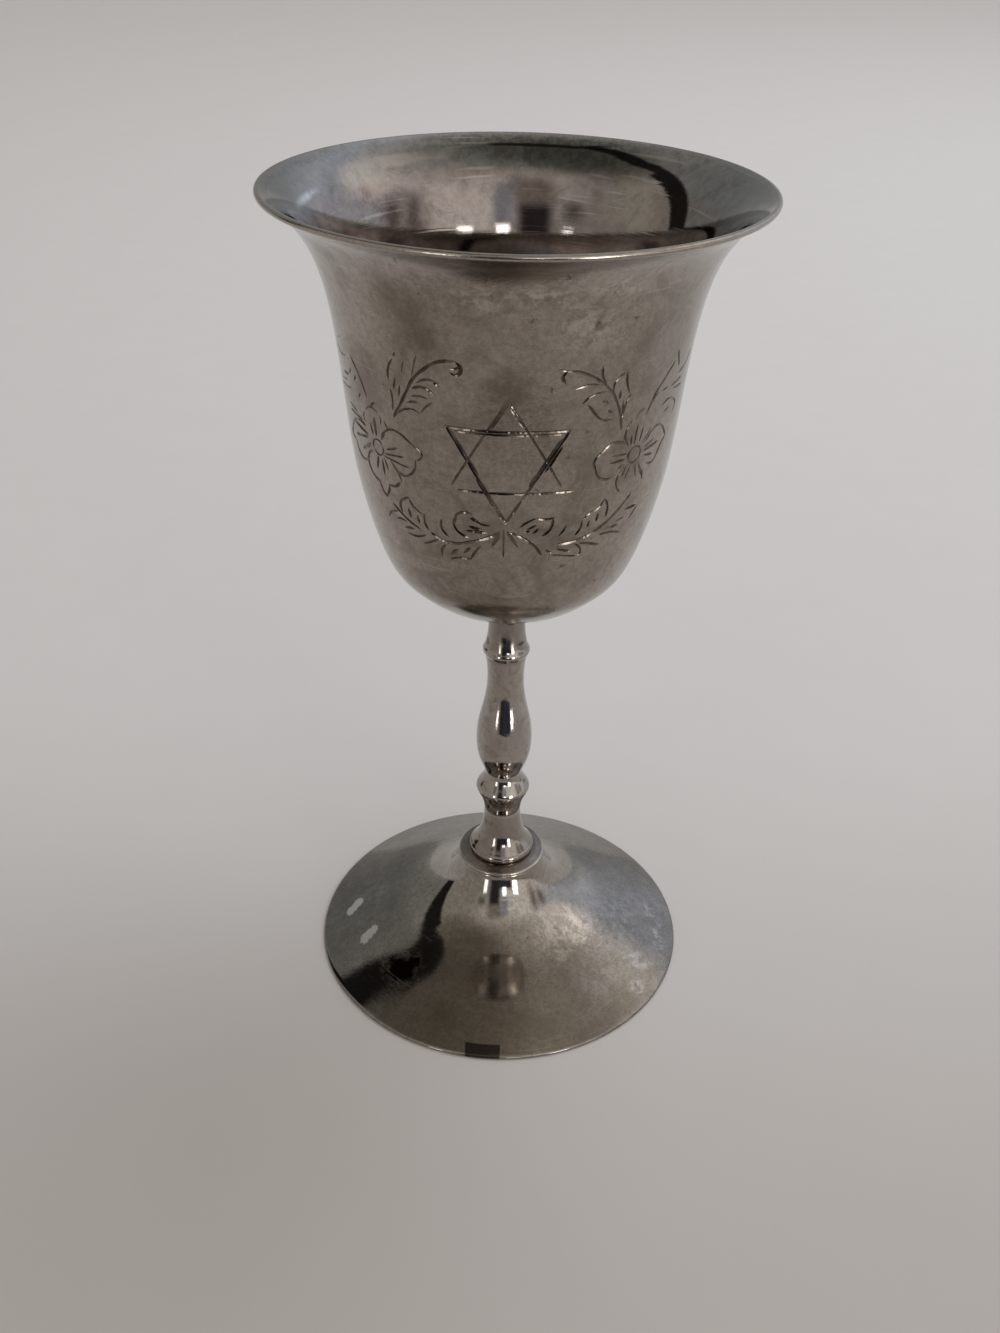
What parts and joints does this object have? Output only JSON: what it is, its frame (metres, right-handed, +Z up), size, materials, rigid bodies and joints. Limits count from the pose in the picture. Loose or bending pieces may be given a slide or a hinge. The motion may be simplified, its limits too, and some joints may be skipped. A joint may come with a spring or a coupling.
{
  "type": "kiddush cup",
  "caption": "Stemmed ceremonial wine cup: flared hollow bowl engraved with a six-pointed star and flowers, baluster stem, trumpet foot.",
  "frame": {"origin": "centre of the foot's underside, on the surface that the cup stands on", "axes": "+Z up along the cup's axis; the engraved star faces -Y"},
  "size_m": [0.0706, 0.0706, 0.135],
  "materials": {
    "bowl_plate": "tarnished silver plate over brass, finely scratched",
    "stem_plate": "cast, silver plated, polished with dark tarnish in the hollows",
    "collar_plate": "silver plated, dull",
    "foot_plate": "tarnished silver plate over brass, cloudy wear"
  },
  "bodies": {
    "root": {"bowl": "bowl_plate", "stem": "stem_plate", "collar": "collar_plate", "foot": "foot_plate"}
  },
  "joints": []
}
